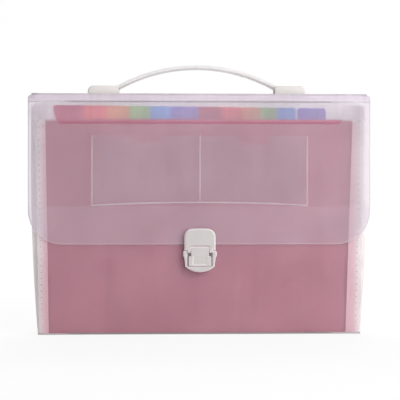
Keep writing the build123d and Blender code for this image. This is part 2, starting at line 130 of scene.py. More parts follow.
class Nodes:
    """A short way to write a material's nodes."""

    def __init__(self, material):
        material.use_nodes = True
        self.tree = material.node_tree
        self.tree.nodes.clear()
        self.place = self.add("ShaderNodeTexCoord").outputs["Object"]

    def add(self, kind, values=None, **settings):
        """A node with its settings. values are plain values or other nodes' outputs, by socket."""
        node = self.tree.nodes.new(kind)
        for name, value in settings.items():
            setattr(node, name, value)
        for key, value in (values or {}).items():
            if isinstance(value, bpy.types.NodeSocket):
                self.tree.links.new(value, node.inputs[key])
            else:
                node.inputs[key].default_value = value
        return node

    def math(self, operation, a, b=0.0):
        return self.add("ShaderNodeMath", {0: a, 1: b}, operation=operation).outputs[0]

    def span(self, value, low, high, to_low=0.0, to_high=1.0):
        values = {"Value": value, "From Min": low, "From Max": high, "To Min": to_low, "To Max": to_high}
        return self.add("ShaderNodeMapRange", values, interpolation_type="SMOOTHSTEP").outputs[0]

    def mix(self, factor, a, b):
        return self.add("ShaderNodeMix", {0: factor, 6: a, 7: b}, data_type="RGBA").outputs[2]

    def blend_values(self, factor, a, b):
        return self.add("ShaderNodeMix", {0: factor, 2: a, 3: b}).outputs[0]

    def blend_shaders(self, factor, a, b):
        return self.add("ShaderNodeMixShader", {0: factor, 1: a, 2: b}).outputs[0]

    def axis(self, index, source=None):
        return self.add("ShaderNodeSeparateXYZ", {0: source or self.place}).outputs[index]

    def facing(self, axis, low, high):
        """1 where the surface looks along an axis, either way, and 0 where it looks across it."""
        normal = self.add("ShaderNodeTexCoord").outputs["Normal"]
        return self.span(self.math("ABSOLUTE", self.axis(axis, normal)), low, high)

    def noise(self, scale, detail=2.0, stretch=None):
        place = self.place
        if stretch:
            place = self.add("ShaderNodeVectorMath", {0: place, 1: stretch}, operation="MULTIPLY").outputs[0]
        return self.add("ShaderNodeTexNoise", {"Vector": place, "Scale": scale, "Detail": detail}).outputs[0]

    def line(self, axis, middle, half):
        """1 on the line where a coordinate has this value, falling to 0 at half its width."""
        off = self.math("ABSOLUTE", self.math("SUBTRACT", self.axis(axis), middle))
        return self.span(off, 0.0, half, 1.0, 0.0)

    def darkened(self, tint, where, shade):
        """The tint brought down to a share of itself where the mask is 1."""
        return self.mix(self.math("MULTIPLY", where, 1 - shade), tint, grey(0.0))

    def bump(self, height, strength, depth):
        values = {"Height": height, "Strength": strength, "Distance": depth}
        return self.add("ShaderNodeBump", values).outputs[0]

    def surface(self, values, through=0.0):
        """A principled surface. It scatters the share through of the light forwards."""
        front = self.add("ShaderNodeBsdfPrincipled", values).outputs[0]
        if not through:
            return front
        behind = self.add("ShaderNodeBsdfTranslucent", {"Color": values["Base Color"]}).outputs[0]
        return self.blend_shaders(through, front, behind)

    def finish(self, shader):
        self.add("ShaderNodeOutputMaterial", {"Surface": shader})


def sheet_material(name, colour, alpha=1.0, roughness=0.42, through=0.0, edges=None, **marks):
    """Polypropylene sheet, matt, with faint clouds and streaks. Below 1, alpha makes it a frosted veil.

    through is the share of the light that it scatters forwards. edges is the axis that its faces look
    along, with the alpha of its cut edges and the shade painted on them. marks go to marked.
    """
    material = bpy.data.materials.new(name)
    n = Nodes(material)
    clouds = n.noise(22.0, 3.0)
    streaks = n.noise(60.0, stretch=(3.0, 1.0, 0.12))
    uneven = n.math("ADD", n.math("MULTIPLY", clouds, 0.65), n.math("MULTIPLY", streaks, 0.35))
    uneven = n.span(uneven, *NOISE_RANGE)
    tint = n.mix(uneven, scaled(colour, 1 - MOTTLE), scaled(colour, 1 + MOTTLE))
    veil = alpha
    if alpha < 1:
        veil = n.span(uneven, 0.0, 1.0, alpha * (1 - MOTTLE), alpha * (1 + MOTTLE))
    if marks:
        tint, veil = marked(n, tint, veil, **marks)
    # Cut edges are denser, and darkened by painted shade.
    if edges:
        axis, edge_alpha, shade = edges
        face = n.facing(axis, 0.3, 0.7)
        veil = n.blend_values(face, edge_alpha, veil)
        tint = n.mix(face, scaled(colour, shade), tint)
    values = {
        "Base Color": tint,
        "Roughness": n.span(clouds, *NOISE_RANGE, roughness - 0.04, roughness + 0.06),
        "Normal": n.bump(n.noise(45.0, 1.0), 0.05, 0.3 * MM),
        "IOR": PLASTIC_IOR,
    }
    if not through:
        values["Alpha"] = veil
    surface = n.surface(values, through)
    if through and alpha < 1:
        open_share = n.add("ShaderNodeBsdfTransparent").outputs[0]
        surface = n.blend_shaders(veil, open_share, surface)
    n.finish(surface)
    return material


def marked(n, tint, veil, lines=(), haze=(), blush=None, border=None):
    """Painted shade on lines, haze that grows along an axis, painted light towards the middle, a cloudy
    border.

    lines: (axis, middle, half width, added alpha, shade) each, to LINE_FADE past LINE_REACH.
    haze: (axis, from, to, added alpha) each.
    blush: (from, to, colour), along the distance from the middle, up to GLOW_TOP.
    border: (from, to, added alpha, shade), along the same distance.
    """
    away = n.math("ABSOLUTE", n.axis(X))
    # Each line makes the veil denser and paints shade along it.
    for axis, middle, half, added, shade in lines:
        shade_line_mask = n.math("MULTIPLY", n.line(axis, middle, half), n.span(away, *LINE_REACH, 1.0, LINE_FADE))
        veil = n.math("ADD", veil, n.math("MULTIPLY", shade_line_mask, added))
        tint = n.darkened(tint, shade_line_mask, shade)
    for axis, start, end, added in haze:
        veil = n.math("ADD", veil, n.span(n.axis(axis), start, end, 0.0, added))
    # Painted light: the colour of the dyed sheets, shining into the film towards the middle.
    if blush:
        start, end, colour = blush
        near = n.math("MULTIPLY", n.span(away, start, end, 1.0, 0.0), n.span(n.axis(Z), *GLOW_TOP, 1.0, 0.0))
        tint = n.mix(near, tint, colour)
    if border:
        start, end, added, shade = border
        near = n.span(away, start, end)
        veil = n.math("ADD", veil, n.math("MULTIPLY", near, added))
        tint = n.darkened(tint, near, shade)
    return tint, veil


def moulding_material(name, colour, through=0.0, painted_rim_highlight=None):
    """Satin moulded plastic with a fine grain, and where given a painted highlight on thin rims that don't
    face the front.
    """
    material = bpy.data.materials.new(name)
    n = Nodes(material)
    clouds = n.noise(90.0, 3.0)
    tint = n.mix(n.span(clouds, *NOISE_RANGE), scaled(colour, 0.97), colour)
    # Painted highlight on faces that look across the front.
    if painted_rim_highlight:
        tint = n.mix(n.facing(Y, 0.6, 0.98), painted_rim_highlight, tint)
    values = {
        "Base Color": tint,
        "Roughness": n.span(clouds, *NOISE_RANGE, 0.3, 0.4),
        "Normal": n.bump(n.noise(2600.0), 0.1, 0.08 * MM),
        "IOR": PLASTIC_IOR,
    }
    n.finish(n.surface(values, through))
    return material


def steel_material(name):
    """Drawn wire, with streaks along its length."""
    material = bpy.data.materials.new(name)
    n = Nodes(material)
    drawn = n.noise(900.0, stretch=(0.05, 1.0, 1.0))
    values = {
        "Base Color": n.mix(drawn, (0.42, 0.42, 0.43, 1.0), (0.6, 0.6, 0.61, 1.0)),
        "Metallic": 1.0,
        "Roughness": n.span(drawn, *NOISE_RANGE, 0.25, 0.4),
    }
    n.finish(n.surface(values))
    return material


# Front and back panels. The dark line near the foot is painted shade.
COVER = sheet_material(
    "frosted_cover", linear(*COVER_RGB), 0.15, through=0.2, edges=(Y, 0.5, 0.9),
    lines=[(Z, 1.2 * MM, 1.1 * MM, 0.6, 0.3)],
    haze=[(Z, 0.210, 0.213, 0.38)],
)
# Its cut edges, such as the base's front edge, are painted dark as shade.
LEVEL_COVER = sheet_material(
    "frosted_cover_level", linear(*COVER_RGB), 0.3, through=0.6, edges=(Z, 0.95, 0.45),
)
# The dark line along the score is painted shade, with a denser veil.
FLAP = sheet_material(
    "frosted_flap", linear(228, 216, 229), 0.185, through=0.2, edges=(Y, 0.5, 0.95),
    lines=[(Z, SCORE_Z, 1.1 * MM, 0.7, 0.35)],
    haze=[(Z, 0.128, 0.124, 0.085), (Z, 0.207, 0.212, 0.15), (Z, 0.2300, 0.2308, 0.5)],
    border=(0.156, 0.163, 0.35, 0.84),
)
FILM = sheet_material("clear_film", linear(206, 208, 216), 0.09, roughness=0.3)
WELDED = sheet_material("clear_film_weld", linear(244, 234, 240), 0.3, roughness=0.3)
SPOT_WELD = sheet_material("spot_weld", linear(246, 240, 243), 0.35, roughness=0.3)
FOLD = sheet_material("frosted_fold", linear(*COVER_RGB), 0.8, through=0.3)
# Gusset film. Its pink towards the inner folds is painted light from the dyed sheets.
GUSSET = sheet_material(
    "frosted_gusset", linear(247, 240, 240), 0.94, through=0.25, blush=(0.149, 0.160, linear(238, 186, 200)),
)
WHITE = moulding_material("white_moulding", linear(226, 221, 219))
# The clasp's light rims are a painted highlight.
CLASP_WHITE = moulding_material("white_clasp", linear(201, 197, 195), painted_rim_highlight=linear(250, 238, 240))
STRAP = moulding_material("white_strap", linear(246, 244, 244), through=0.35)
SLOTS = {
    "frosted_cover": COVER,
    "frosted_gusset": GUSSET,
    "clear_film": FILM,
    "white_moulding": WHITE,
    "pin_steel": steel_material("pin_steel"),
}
for name, rgb in DIVIDER_RGB.items():
    SLOTS[f"divider_{name}"] = sheet_material(f"divider_{name}", linear(*rgb), roughness=0.45, through=0.5)
SLOT_OF = {row["node"]: row["material_slot"] for row in frame["record"]["subparts"]}
LEVEL_NODES = ("top_panel", "base_panel", "handle_backing_left", "handle_backing_right")

for name, node in NODES.items():
    node.data.materials.clear()
    node.data.materials.append(LEVEL_COVER if name in LEVEL_NODES else SLOTS[SLOT_OF[name]])


def placed(name, data):
    """A new object in the scene."""
    item = bpy.data.objects.new(name, data)
    bpy.context.scene.collection.objects.link(item)
    return item


def new_mesh(name, verts, faces):
    mesh = bpy.data.meshes.new(name)
    mesh.from_pydata([tuple(v) for v in verts], [], faces)
    mesh.update()
    return mesh


def mesh_piece(name, verts, faces, slot, material=None, smooth=True):
    """A new piece in the given material, or else in the material of the slot."""
    mesh = new_mesh(name, verts, faces)
    piece = placed(name, mesh)
    mesh.materials.append(material or SLOTS[slot])
    for p in mesh.polygons:
        p.use_smooth = smooth
    return piece


@contextmanager
def mesh_work(piece):
    """The piece's mesh, open for bmesh operations and written back at the end."""
    work = bmesh.new()
    work.from_mesh(piece.data)
    yield work
    work.to_mesh(piece.data)
    work.free()


def facing_out(piece):
    """Turns the faces of a closed mesh outwards."""
    with mesh_work(piece) as work:
        bmesh.ops.recalc_face_normals(work, faces=work.faces)


def with_modifiers(piece):
    """Applies a piece's modifiers to its mesh."""
    graph = bpy.context.evaluated_depsgraph_get()
    mesh = bpy.data.meshes.new_from_object(piece.evaluated_get(graph))
    piece.modifiers.clear()
    piece.data = mesh


def moulded(piece, node, material, sharp):
    """Lets a piece stand for a moulded node. Edges above the angle sharp, in degrees, are shaded sharp."""
    piece.name = f"{node}_moulding"
    piece.data.materials.clear()
    piece.data.materials.append(material)
    for p in piece.data.polygons:
        p.use_smooth = True
    piece.data.set_sharp_from_angle(angle=math.radians(sharp))
    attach(piece, NODES[node]["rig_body"])
    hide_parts(node)


# Handle: copies of the two feet and the strap with their edges rounded

SAME_PLACE = 2e-6
FLAT_ANGLE = math.radians(2)
EDGE_ANGLE = math.radians(32)
ROUNDING_STEPS = 3
HANDLE_SHARP = 40


def softened(node, width, material=WHITE):
    """A copy of a moulded node with its sharp edges rounded, which stands for the node."""
    piece = placed(f"{node}_moulding", NODES[node].data.copy())
    packed_normals = piece.data.attributes.get("custom_normal")
    if packed_normals:
        piece.data.attributes.remove(packed_normals)
    with mesh_work(piece) as work:
        bmesh.ops.remove_doubles(work, verts=work.verts, dist=SAME_PLACE)
        bmesh.ops.dissolve_limit(work, angle_limit=FLAT_ANGLE, verts=work.verts, edges=work.edges)
    rounding = piece.modifiers.new("Rounding", "BEVEL")
    rounding.width = width
    rounding.segments = ROUNDING_STEPS
    rounding.limit_method = "ANGLE"
    rounding.angle_limit = EDGE_ANGLE
    rounding.use_clamp_overlap = True
    with_modifiers(piece)
    moulded(piece, node, material, HANDLE_SHARP)


for name in ("handle_foot_left", "handle_foot_right"):
    softened(name, 0.35 * MM)
softened("handle_strap", 0.7 * MM, STRAP)

# Clasp: plate, latch and tray with rounded rims. Outlines, insets and radii are in millimetres, seen from the
# front, and depths along Y are in metres

plate_low, plate_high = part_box("clasp_flap_plate")
catch_low, catch_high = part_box("clasp_catch")
PLATE_FRONT = plate_low.y
PLATE_FOOT = plate_low.z / MM
PLATE_TOP = plate_high.z / MM
PLATE_HALF = 15.3
PLATE_CORNER = 8.0
PLATE_CROWN = 1.0
CROWN_DROP = 0.23
CROWN_STEPS = 8
CORNER_ARC = 86
CORNER_ARC_STEPS = 12
PLATE_RIM = 1.9
CHEEK_FOOT = 83.0
CHEEK_HALF = 12.4
CHEEK_CORNER = 1.2
CHEEK_RIM = 0.7
PIN_Z = 84.9
CHEEK_TOP = PIN_Z + 3
BARREL = 2.2
NOTCH_HALF = 9.3
NOTCH_FOOT = 70.0
NOTCH_TOP = PIN_Z + BARREL + 0.4
NOTCH_CORNER = 0.4
GROOVE_HALF = 12.9
GROOVE_LOW = NOTCH_TOP - 0.45
GROOVE_HIGH = NOTCH_TOP + 0.25
GROOVE_CORNER = 0.3
LATCH_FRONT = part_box("clasp_tongue")[0].y
LATCH_DEPTH = 2.6 * MM
LATCH_LOW = 67.5
LATCH_HIGH = 77.3
LATCH_HALF = 11.2
LATCH_CORNER = 1.0
LATCH_RIM = 0.6
NECK_HALF = 8.6
BARREL_POINTS = 24
BARREL_ENDS = ((-9.1, 0.9), (-8.9, 1.0), (8.9, 1.0), (9.1, 0.9))
REST_HALF = 6.9
REST_LOW = 68.8
REST_HIGH = 77.2
REST_CORNER = 0.8
CATCH_FRONT = catch_low.y
CATCH_FOOT = catch_low.z / MM
CATCH_TOP = catch_high.z / MM
CATCH_HALF = 14.3
CATCH_LOW = 67.0
CATCH_RIM = 1.1
SHOULDER_HALF = 15.6
EAR_HALF = 16.5
EAR_FOOT = 77.3
EAR_SLOPE = 0.7
EAR_CORNER = 1.5
POCKET_HALF = 12.3
POCKET_LOW = LATCH_LOW - 0.2
POCKET_HIGH = CATCH_TOP + 6
POCKET_CORNER = 0.9
POCKET_FLOOR = PANEL_Y - 1.5 * MM
STEP_HALF = 7.5
STEP_LOW = 69.4
STEP_HIGH = 75.4
STEP_CORNER = 0.5
BACK_EDGE = 0.15
RIM_MARGIN = 0.3
RIM_STEPS = 5
CORNER_STEPS = 5
SMALL_CORNER_STEPS = 4
FOOT_STEPS = 16
APART = 0.02 * MM
CLASP_SHARP = 35


def arc(x, z, radius, start, end, steps):
    """Points of an arc, with its angles in degrees from the right, anticlockwise."""
    angles = [math.radians(start + (end - start) * k / steps) for k in range(steps + 1)]
    return [(x + radius * math.cos(a), z + radius * math.sin(a)) for a in angles]


def rounded_box(half, low, high, radius, steps=CORNER_STEPS):
    """A box outline about the middle line with rounded corners, anticlockwise from its lower right."""
    points = arc(half - radius, low + radius, radius, -90, 0, steps)
    points += arc(half - radius, high - radius, radius, 0, 90, steps)
    points += arc(radius - half, high - radius, radius, 90, 180, steps)
    return points + arc(radius - half, low + radius, radius, 180, 270, steps)


def inset(outline, distance):
    """The outline moved inwards by a distance, with mitred corners."""
    moved = []
    count = len(outline)
    for k, (x, z) in enumerate(outline):
        before = Vector((x - outline[k - 1][0], z - outline[k - 1][1])).normalized()
        after = Vector((outline[(k + 1) % count][0] - x, outline[(k + 1) % count][1] - z)).normalized()
        bisector = (before + after).normalized()
        reach = distance / max(bisector.dot(after), 0.5)
        moved.append((x - bisector.y * reach, z + bisector.x * reach))
    return moved


def closed_solid(name, verts, count):
    """A closed solid through rings of count points each, with a face over both ends."""
    last = len(verts) - count
    faces = []
    for start in range(0, last, count):
        for k in range(count):
            m = (k + 1) % count
            faces.append((start + k, start + m, start + count + m, start + count + k))
    faces.append(tuple(range(count)))
    faces.append(tuple(reversed(range(last, len(verts)))))
    solid = placed(name, new_mesh(name, verts, faces))
    facing_out(solid)
    return solid


def ringed(name, outline, rings):
    """A closed solid through rings of an outline, each given as its inset and its Y."""
    verts = []
    for distance, y in rings:
        verts += [(x * MM, y, z * MM) for x, z in inset(outline, distance)]
    return closed_solid(name, verts, len(outline))


def rim(front, back, radius):
    """Rings of a plate from its back to its front, with a rounded front rim."""
    rings = [(BACK_EDGE, back), (0.0, back - BACK_EDGE * MM)]
    for k in range(RIM_STEPS + 1):
        a = math.pi / 2 * k / RIM_STEPS
        rings.append((radius * (1 - math.cos(a)), front + radius * MM * (1 - math.sin(a))))
    return rings + [(radius + RIM_MARGIN, front)]


def combined(piece, tool, operation):
    """Joins the piece with a second solid or cuts it by that solid, which goes away."""
    step = piece.modifiers.new("Step", "BOOLEAN")
    step.operation = operation
    step.solver = "EXACT"
    step.object = tool
    with_modifiers(piece)
    bpy.data.objects.remove(tool)


def clasp_part(piece, node):
    """Finishes a solid that stands for a node of the clasp."""
    with mesh_work(piece) as work:
        bmesh.ops.triangulate(work, faces=work.faces)
    moulded(piece, node, CLASP_WHITE, CLASP_SHARP)


def clasp_plate():
    """The plate on the flap, with a crowned top, two cheeks, and a notch and a groove for the latch."""
    shoulder = PLATE_HALF - PLATE_CORNER
    corner_z = PLATE_TOP - CROWN_DROP - PLATE_CORNER
    outline = [(-PLATE_HALF, CHEEK_FOOT), (PLATE_HALF, CHEEK_FOOT)]
    outline += arc(shoulder, corner_z, PLATE_CORNER, 0, CORNER_ARC, CORNER_ARC_STEPS)
    for k in range(1, CROWN_STEPS):
        x = shoulder * (1 - 2 * k / CROWN_STEPS)
        outline.append((x, PLATE_TOP - PLATE_CROWN * (x / PLATE_HALF) ** 2))
    outline += arc(-shoulder, corner_z, PLATE_CORNER, 180 - CORNER_ARC, 180, CORNER_ARC_STEPS)
    plate = ringed("plate", outline, rim(PLATE_FRONT, FLAP_LOW_Y, PLATE_RIM))

    lower = rounded_box(CHEEK_HALF, PLATE_FOOT, CHEEK_TOP, CHEEK_CORNER)
    cheeks = ringed("cheeks", lower, rim(PLATE_FRONT + APART, FLAP_LOW_Y - APART, CHEEK_RIM))
    combined(plate, cheeks, "UNION")

    notch = rounded_box(NOTCH_HALF, NOTCH_FOOT, NOTCH_TOP, NOTCH_CORNER)
    past = [
        (0.0, FLAP_LOW_Y + MM),
        (0.0, PLATE_FRONT + 0.4 * MM),
        (-0.35, PLATE_FRONT - 0.05 * MM),
        (-0.5, PLATE_FRONT - MM),
    ]
    combined(plate, ringed("notch", notch, past), "DIFFERENCE")

    groove = rounded_box(GROOVE_HALF, GROOVE_LOW, GROOVE_HIGH, GROOVE_CORNER)
    shallow = [(0.1, PLATE_FRONT + 0.6 * MM), (0.0, PLATE_FRONT - MM)]
    combined(plate, ringed("groove", groove, shallow), "DIFFERENCE")
    clasp_part(plate, "clasp_flap_plate")


def clasp_barrel():
    """The round bar at the latch's head, which the pin runs through."""
    turned = arc(0.0, 0.0, BARREL * MM, 0, 360 - 360 / BARREL_POINTS, BARREL_POINTS - 1)
    centre_y = LATCH_FRONT + BARREL * MM
    verts = []
    for x, grow in BARREL_ENDS:
        verts += [(x * MM, centre_y + a * grow, PIN_Z * MM + b * grow) for a, b in turned]
    return closed_solid("barrel", verts, BARREL_POINTS)


def clasp_latch():
    """The latch: a pad for the finger with a sunk rest, and a neck up to its barrel."""
    corners = rounded_box(LATCH_HALF, LATCH_LOW, LATCH_HIGH, LATCH_CORNER, SMALL_CORNER_STEPS)
    half_way = len(corners) // 2
    neck = [(NECK_HALF, LATCH_HIGH), (NECK_HALF, PIN_Z), (-NECK_HALF, PIN_Z), (-NECK_HALF, LATCH_HIGH)]
    outline = corners[:half_way] + neck + corners[half_way:]
    latch = ringed("latch", outline, rim(LATCH_FRONT + APART, LATCH_FRONT + LATCH_DEPTH, LATCH_RIM))
    combined(latch, clasp_barrel(), "UNION")

    rest = rounded_box(REST_HALF, REST_LOW, REST_HIGH, REST_CORNER)
    sunk = [(0.25, LATCH_FRONT + 0.75 * MM), (0.0, LATCH_FRONT + 0.5 * MM), (-0.3, LATCH_FRONT - 0.3 * MM)]
    combined(latch, ringed("rest", rest, sunk), "DIFFERENCE")
    clasp_part(latch, "clasp_tongue")


def clasp_tray():
    """The catch on the front panel: a bowed foot, two ears and a pocket with a step behind the latch."""
    sag = CATCH_LOW - CATCH_FOOT
    radius = (CATCH_HALF ** 2 + sag ** 2) / (2 * sag)
    lean = math.degrees(math.asin(CATCH_HALF / radius))
    ear_x = EAR_HALF - EAR_CORNER
    ear_z = CATCH_TOP - EAR_CORNER
    outline = arc(0.0, CATCH_FOOT + radius, radius, -90 - lean, -90 + lean, FOOT_STEPS)
    outline += [(SHOULDER_HALF, EAR_FOOT - EAR_SLOPE), (EAR_HALF, EAR_FOOT)]
    outline += arc(ear_x, ear_z, EAR_CORNER, 0, 90, SMALL_CORNER_STEPS)
    outline += arc(-ear_x, ear_z, EAR_CORNER, 90, 180, SMALL_CORNER_STEPS)
    outline += [(-EAR_HALF, EAR_FOOT), (-SHOULDER_HALF, EAR_FOOT - EAR_SLOPE)]
    tray = ringed("tray", outline, rim(CATCH_FRONT, PANEL_Y, CATCH_RIM))

    pocket = rounded_box(POCKET_HALF, POCKET_LOW, POCKET_HIGH, POCKET_CORNER)
    lip = [
        (0.0, POCKET_FLOOR),
        (0.0, CATCH_FRONT + 0.9 * MM),
        (-0.25, CATCH_FRONT + 0.25 * MM),
        (-0.8, CATCH_FRONT - 0.05 * MM),
        (-0.9, CATCH_FRONT - MM),
    ]
    combined(tray, ringed("pocket", pocket, lip), "DIFFERENCE")

    step = rounded_box(STEP_HALF, STEP_LOW, STEP_HIGH, STEP_CORNER)
    rise = [(0.0, POCKET_FLOOR + 0.5 * MM), (0.0, POCKET_FLOOR - 2.2 * MM), (0.4, POCKET_FLOOR - 2.6 * MM)]
    combined(tray, ringed("step", step, rise), "UNION")
    clasp_part(tray, "clasp_catch")


clasp_plate()
clasp_latch()
clasp_tray()

# Flap: one face of the sheet with a rim of its whole thickness turned in round the outline. FLAP_RIM gives
# each ring of the rim as its distance inwards and behind the face, in millimetres

FLAP_CORNER = 32.5 * MM
FLAP_CORNER_STEPS = 16
FLAP_TOP_CORNER = 3.5 * MM
FLAP_TOP_STEPS = 5
FLAP_BEND = (0.1255, 0.1060)
FLAP_BEND_SOFT = 1.2 * MM
FLAP_BEND_ROWS = (-4, -2.5, -1.5, -0.5, 0.5, 1.5, 2.5, 4)
FLAP_PLAIN_LOW = 0.132
FLAP_PLAIN_STEP = 0.008
FLAP_PLAIN_ROWS = 13
FLAP_COLUMNS = 40
FLAP_EDGE = 0.3
FLAP_SHARP = 50
FLAP_RIM = ((0.09, 0.09), (0.0, 0.3), (0.0, 0.6), (0.09, 0.81), (0.3, 0.9), (1.0, 0.9))
SCORE_HALF = 0.9 * MM
SCORE_DEPTH = 0.3 * MM


def flap_y(z):
    """Outer face of the flap at a height, with its two shallow bends and the scored line."""
    high, low = FLAP_BEND
    slope = (FLAP_LOW_Y - FLAP_Y) / (high - low)

    def soft(distance):
        return (distance + math.sqrt(distance ** 2 + 4 * FLAP_BEND_SOFT ** 2)) / 2
    y = FLAP_Y + slope * (soft(high - z) - soft(low - z))
    groove = max(0.0, 1 - abs(z - SCORE_Z) / SCORE_HALF)
    return min(y, FLAP_LOW_Y) + SCORE_DEPTH * groove


def flap_half(z):
    """Half the flap's width at a height, with its rounded corners."""
    half = flap_high.x
    for corner, height in ((FLAP_CORNER, z - flap_low.z), (FLAP_TOP_CORNER, flap_high.z - z)):
        over = corner - height
        if over > 0:
            return half - corner + math.sqrt(max(corner ** 2 - over ** 2, 0.0))
    return half


def flap_heights():
    """Rows up the flap, close together at the corners, the bends and the scored line."""
    quarter = [math.pi / 2 * k / FLAP_CORNER_STEPS for k in range(FLAP_CORNER_STEPS + 1)]
    rows = [flap_low.z + FLAP_CORNER * (1 - math.cos(a)) for a in quarter]
    rows += [FLAP_BEND[0] + d * MM for d in FLAP_BEND_ROWS]
    rows += [FLAP_PLAIN_LOW + FLAP_PLAIN_STEP * k for k in range(FLAP_PLAIN_ROWS)]
    rows += [SCORE_Z + SCORE_HALF * share for share in (-1, -0.5, 0, 0.5, 1)]
    quarter = [math.pi / 2 * k / FLAP_TOP_STEPS for k in range(FLAP_TOP_STEPS + 1)]
    rows += [flap_high.z - FLAP_TOP_CORNER * (1 - math.sin(a)) for a in quarter]
    return sorted(set(round(z, 7) for z in rows))


def flap_sheet():
    rows = flap_heights()
    top = len(rows) - 1
    verts, faces = [], []
    for z in rows:
        half = flap_half(z)
        for c in range(FLAP_COLUMNS + 1):
            verts.append(Vector((half * (2 * c / FLAP_COLUMNS - 1), flap_y(z), z)))
    span = FLAP_COLUMNS + 1
    for r in range(top):
        for c in range(FLAP_COLUMNS):
            a = r * span + c
            faces.append((a, a + 1, a + span + 1, a + span))
    loop = list(range(FLAP_COLUMNS))
    loop += [r * span + FLAP_COLUMNS for r in range(top)]
    loop += [top * span + c for c in range(FLAP_COLUMNS, 0, -1)]
    loop += [r * span for r in range(top, 0, -1)]
    outline = [verts[v].copy() for v in loop]
    count = len(loop)
    inward = []
    for k in range(count):
        along = outline[(k + 1) % count] - outline[k - 1]
        inward.append(Vector((-along.z, 0.0, along.x)).normalized())
    for v, move in zip(loop, inward):
        verts[v] += move * FLAP_EDGE * MM
    rings = [loop]
    for inwards, behind in FLAP_RIM:
        rings.append(list(range(len(verts), len(verts) + count)))
        for point, move in zip(outline, inward):
            verts.append(point + move * inwards * MM + Vector((0.0, behind * MM, 0.0)))
    for outer, inner in zip(rings, rings[1:]):
        for k in range(count):
            m = (k + 1) % count
            faces.append((outer[m], outer[k], inner[k], inner[m]))
    piece = mesh_piece("flap_sheet", verts, faces, "frosted_cover", FLAP)
    piece.data.set_sharp_from_angle(angle=math.radians(FLAP_SHARP))
    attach(piece, "flap_body")
    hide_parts("front_flap")


flap_sheet()

# Film of the two card pockets on the inside of the flap, welded down at its sides, middle and foot

CARD_HALF = 0.1065
CARD_LOW = 0.1265
CARD_TOP = 0.1955
CARD_ARCH = 3.0 * MM
CARD_PLAIN_COLUMNS = (-0.090, -0.080, -0.030, -0.020, -0.010)
WELD = 1.4 * MM
WELD_REACH = 0.51 * WELD
WELD_OFF = 0.12 * MM
FILM_OFF = 0.55 * MM
FILM_START = 1.7 * WELD
FILM_SHARES = (0.0, 0.25, 0.5, 0.75, 1.0)
THUMB_HALF = 15.0 * MM
THUMB_DEPTH = 8.0 * MM
THUMB_SOFT = 5.5 * MM
THUMB_COLUMNS = (0.0, 0.02, 0.3, 0.9, 1.8, 3.0, 4.4, 5.5)


def card_top(x):
    """Upper edge of the film, with a thumb notch in the middle of each pocket."""
    off = abs(abs(x) - CARD_HALF / 2)
    if off >= THUMB_HALF:
        return CARD_TOP
    corner = max(0.0, off - (THUMB_HALF - THUMB_SOFT))
    fall = THUMB_SOFT - math.sqrt(max(THUMB_SOFT ** 2 - corner ** 2, 0.0))
    return CARD_TOP - THUMB_DEPTH + fall


def card_foot(x):
    return CARD_LOW + CARD_ARCH * (1 - (x / CARD_HALF) ** 2)


def card_columns():
    """Places across the film, close together at the welds and the corners of the notches."""
    places = [-CARD_HALF, -CARD_HALF + WELD, -CARD_HALF + 1.6 * WELD, -0.5 * WELD - 0.8 * MM, -0.5 * WELD]
    notch = CARD_HALF / 2
    for edge in (-1, 1):
        places += [-notch + edge * (THUMB_HALF - d * MM) for d in THUMB_COLUMNS]
    places += [-notch, -notch - 6.0 * MM, -notch + 6.0 * MM]
    places += CARD_PLAIN_COLUMNS
    places += [-p for p in places]
    return sorted(set(round(p, 7) for p in places))


def on_weld(x):
    """Whether a place is on the middle weld or a side weld."""
    off = min(abs(abs(x) - CARD_HALF + WELD / 2), abs(x))
    return off < WELD_REACH


def card_film():
    columns = card_columns()
    inner_y = FLAP_Y + SHEET
    verts, faces, welded = [], [], []
    rows = 3 + len(FILM_SHARES)
    for x in columns:
        foot = card_foot(x)
        start = foot + FILM_START
        rise = card_top(x) - start
        heights = [foot, foot + WELD, start] + [start + rise * share for share in FILM_SHARES]
        for k, z in enumerate(heights):
            held = k < 2 or on_weld(x)
            verts.append((x, inner_y + (WELD_OFF if held else FILM_OFF), z))
    for c in range(len(columns) - 1):
        middle = (columns[c] + columns[c + 1]) / 2
        for r in range(rows - 1):
            a = c * rows + r
            faces.append((a, a + rows, a + rows + 1, a + 1))
            welded.append(r == 0 or on_weld(middle))
    piece = mesh_piece("card_film", verts, faces, "clear_film")
    piece.data.materials.append(WELDED)
    for p, w in zip(piece.data.polygons, welded):
        p.material_index = 1 if w else 0
    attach(piece, "flap_body")
    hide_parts("flap_card_pocket")


card_film()

# Gusset pleats: thin film folded outwards between neighbouring sheets, a little uneven from pocket to pocket.
# The first and the last lie flat on a panel and reach less far. A pair is a value and its growth to the top

PLEAT_ROWS = 26
PLEAT_POINTS = 9
PLEAT_GAP = 0.1 * MM
ROOT_HALF = (0.1485, 0.0036)
OUTER_REACH = (0.1580, 0.0050)
OUTER_FOLD_OFF = 0.3 * MM
OUTER_FOLD_HALF = 0.2 * MM
INNER_REACH = (0.1598, 0.0068)
INNER_FOLD_HALF = 0.45 * MM
FRONT_ROOT_IN = 4.0 * MM
WAVER = 0.5 * MM
WAVER_BY_POCKET = 2.3
WAVER_BY_HEIGHT = 7.0
WAVER_ROOM = 0.3 * MM
TIP = 0.8 * MM
TIP_SOFT = 0.1 * MM
TIP_SHARE = 0.55
NEAR_REACH = 0.35
NEAR_DEPTH = 0.25


